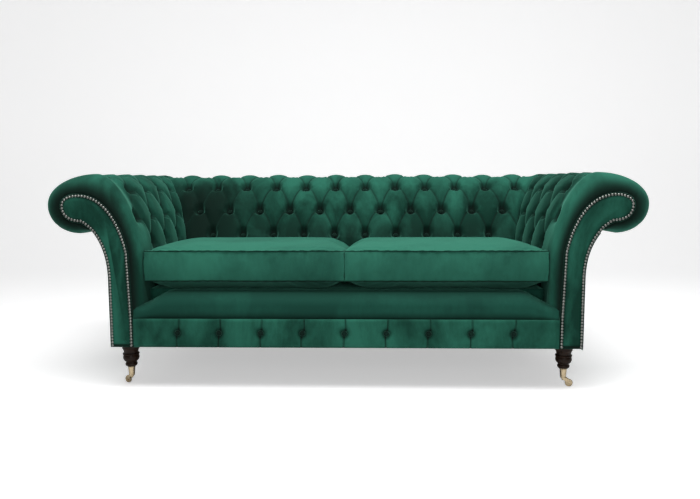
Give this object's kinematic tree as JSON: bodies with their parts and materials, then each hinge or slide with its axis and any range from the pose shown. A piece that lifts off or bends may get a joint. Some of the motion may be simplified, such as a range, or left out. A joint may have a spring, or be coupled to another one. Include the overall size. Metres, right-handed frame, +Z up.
{
  "type": "sofa",
  "caption": "Low scroll-arm sofa with deep-buttoned velvet back and arms, loose seat cushions, nail-trimmed arm fronts and turned front legs on brass castors.",
  "frame": {"origin": "centre of the footprint on the floor, under the middle of the sofa", "axes": "+X to the right seen from the front, along the length; -Y towards the front; +Z up"},
  "size_m": [2.196, 0.9778, 0.7942],
  "materials": {
    "velvet": "deep green pile velvet, soft sheen",
    "nail_heads": "domed antique nickel",
    "dark_wood": "near-black stained hardwood, satin lacquer",
    "antique_brass": "antique brass, worn bright on the edges",
    "glide_plastic": "black nylon glide",
    "black_cloth": "black woven dust cloth",
    "frame_timber": "sawn hardwood, unfinished",
    "steel": "zinc-plated steel",
    "foam": "cushion foam"
  },
  "bodies": {
    "sofa": {"arm_tacking_rails": "frame_timber", "back_buttons": "velvet", "back_posts": "frame_timber", "back_top_rail": "frame_timber", "border_buttons": "velvet", "corner_blocks": "frame_timber", "dust_cover": "black_cloth", "front_border": "velvet", "front_rail": "frame_timber", "inside_back": "velvet", "left_arm_buttons": "velvet", "left_arm_post": "frame_timber", "left_arm_rail": "frame_timber", "left_castor_cup": "antique_brass", "left_facing": "velvet", "left_facing_nails": "nail_heads", "left_front_leg": "dark_wood", "left_inside_arm": "velvet", "left_outside_arm": "velvet", "left_rear_leg": "dark_wood", "left_scroll_board": "frame_timber", "left_side_rail": "frame_timber", "leg_bolts": "steel", "leg_plates": "steel", "outside_back": "velvet", "rear_glides": "glide_plastic", "rear_rail": "frame_timber", "right_arm_buttons": "velvet", "right_arm_post": "frame_timber", "right_arm_rail": "frame_timber", "right_castor_cup": "antique_brass", "right_facing": "velvet", "right_facing_nails": "nail_heads", "right_front_leg": "dark_wood", "right_inside_arm": "velvet", "right_outside_arm": "velvet", "right_rear_leg": "dark_wood", "right_scroll_board": "frame_timber", "right_side_rail": "frame_timber", "seat_deck": "velvet", "seat_lip": "velvet", "seat_springs": "steel", "spring_clips": "steel", "spring_rail": "frame_timber"},
    "left_cushion": {"left_cushion_cover": "velvet", "left_cushion_core": "foam"},
    "left_castor_fork": {"left_castor_horn": "antique_brass", "left_castor_axle": "antique_brass"},
    "left_wheel": {"left_castor_wheel": "antique_brass"},
    "right_cushion": {"right_cushion_cover": "velvet", "right_cushion_core": "foam"},
    "right_castor_fork": {"right_castor_horn": "antique_brass", "right_castor_axle": "antique_brass"},
    "right_wheel": {"right_castor_wheel": "antique_brass"}
  },
  "joints": [
    {"name": "left_castor_swivel", "type": "hinge", "parent": "sofa", "child": "left_castor_fork", "pos_m": [-0.816, -0.4061, 0.034], "axis": [0, 0, 1], "continuous": true},
    {"name": "left_castor_roll", "type": "hinge", "parent": "left_castor_fork", "child": "left_wheel", "pos_m": [-0.834, -0.39528, 0.0145], "axis": [0.515, 0.8572, 0], "continuous": true},
    {"name": "right_castor_swivel", "type": "hinge", "parent": "sofa", "child": "right_castor_fork", "pos_m": [0.816, -0.4061, 0.034], "axis": [0, 0, 1], "continuous": true},
    {"name": "right_castor_roll", "type": "hinge", "parent": "right_castor_fork", "child": "right_wheel", "pos_m": [0.83628, -0.41154, 0.0145], "axis": [0.2588, 0.9659, 0], "continuous": true},
    {"name": "left_cushion_lift", "type": "slide", "parent": "sofa", "child": "left_cushion", "axis": [0, 0, 1], "range_m": [0, 0.5]},
    {"name": "right_cushion_lift", "type": "slide", "parent": "sofa", "child": "right_cushion", "axis": [0, 0, 1], "range_m": [0, 0.5]}
  ]
}
